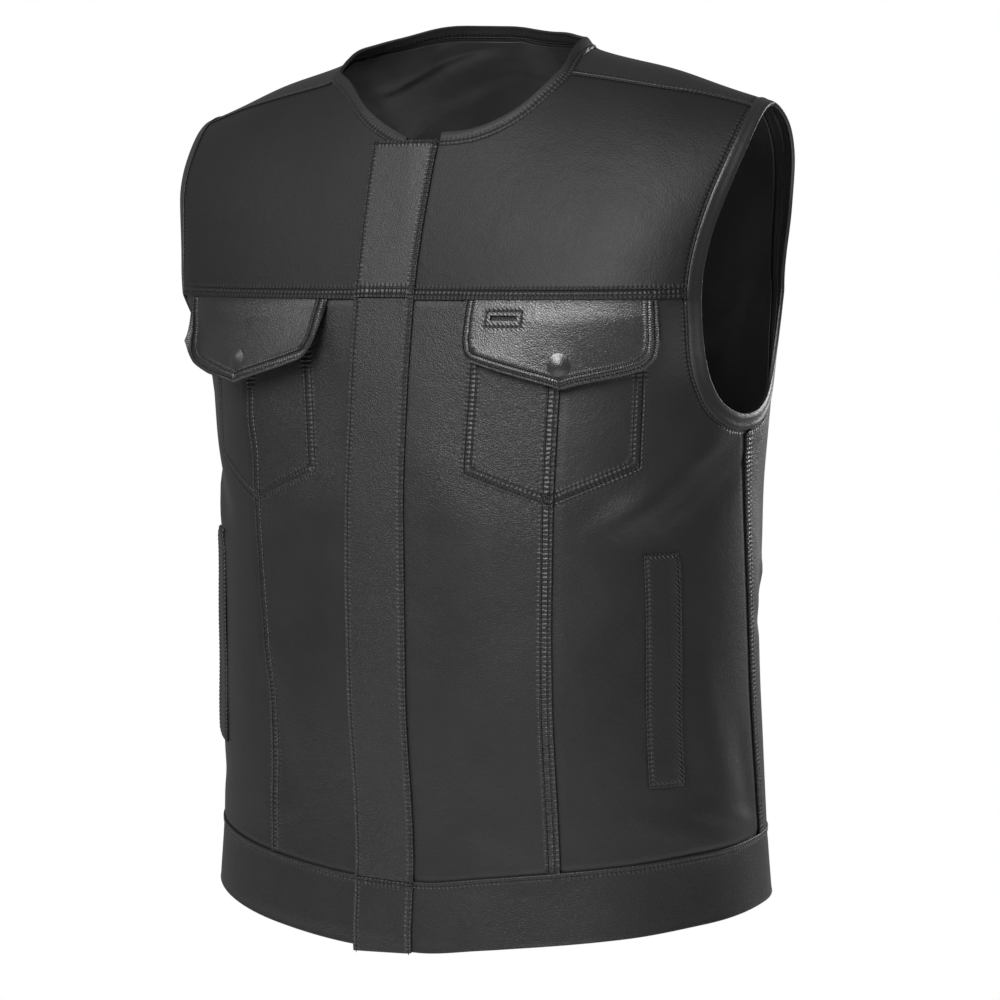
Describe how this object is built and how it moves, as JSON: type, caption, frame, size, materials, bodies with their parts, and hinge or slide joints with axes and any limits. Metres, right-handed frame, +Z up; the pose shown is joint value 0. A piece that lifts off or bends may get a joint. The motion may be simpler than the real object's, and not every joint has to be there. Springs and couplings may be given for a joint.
{
  "type": "leather vest",
  "caption": "Collarless leather vest with a covered front placket, pointed chest pocket flaps, hand pocket welts and a waistband, filled out as it is worn.",
  "frame": {"origin": "centre of the neck opening, at the height of the neck points, where the wearer's neck would be", "axes": "+Z up, -Y the way the front faces, +X towards the wearer's left side"},
  "size_m": [0.4882, 0.2778, 0.6779],
  "materials": {
    "leather": "black cowhide with a fine pebble grain and a soft satin sheen, sewn with black thread",
    "lining": "smooth black polyester lining"
  },
  "bodies": {
    "root": {"back": "leather", "back_lining": "lining", "waistband": "leather", "neckband": "leather", "placket_top": "leather", "placket_front": "leather", "placket_band": "leather", "front_yoke_left": "leather", "front_yoke_right": "leather", "front_centre_left": "leather", "front_centre_right": "leather", "front_side_left": "leather", "front_side_right": "leather", "armhole_band_left": "leather", "armhole_band_right": "leather", "flap_left": "leather", "flap_right": "leather", "snap_left": "leather", "snap_right": "leather", "pocket_left": "lining", "pocket_right": "lining", "welt_left": "leather", "welt_right": "leather"}
  },
  "joints": []
}
